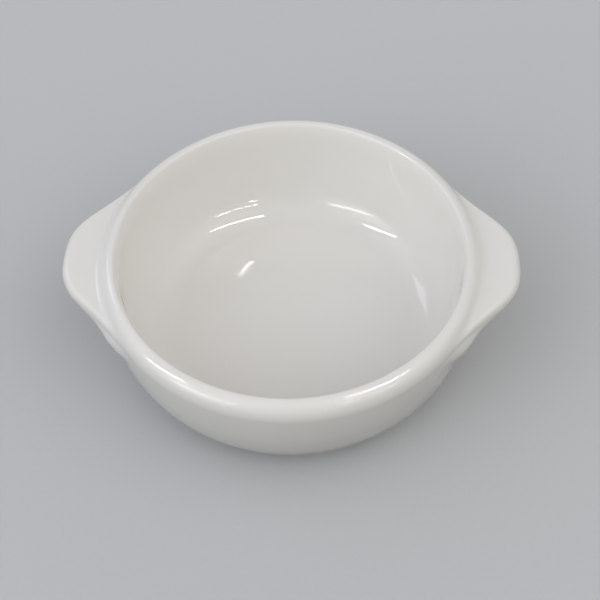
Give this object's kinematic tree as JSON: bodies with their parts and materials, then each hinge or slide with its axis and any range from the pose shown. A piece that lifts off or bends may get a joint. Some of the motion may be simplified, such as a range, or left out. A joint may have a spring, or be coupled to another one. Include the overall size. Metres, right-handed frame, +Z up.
{
  "type": "gratin dish",
  "caption": "Round white glazed stoneware gratin dish with a beaded rim, a flat floor, a foot ring and flat ear-shaped lugs for lifting.",
  "frame": {"origin": "on the table, at the middle of the foot ring", "axes": "+Z up, X through both lugs with +X to the right lug, +Y to the back"},
  "size_m": [0.18, 0.15, 0.052],
  "materials": {
    "stoneware": "bare fired clay, off-white, matt",
    "slip": "fired slip, off-white, matt",
    "white_glaze": "glossy white glaze"
  },
  "bodies": {
    "root": {"bowl_body": "stoneware", "left_handle": "stoneware", "right_handle": "stoneware", "left_slip_joint": "slip", "right_slip_joint": "slip", "glaze_coat": "white_glaze", "base_glaze": "white_glaze"}
  },
  "joints": []
}
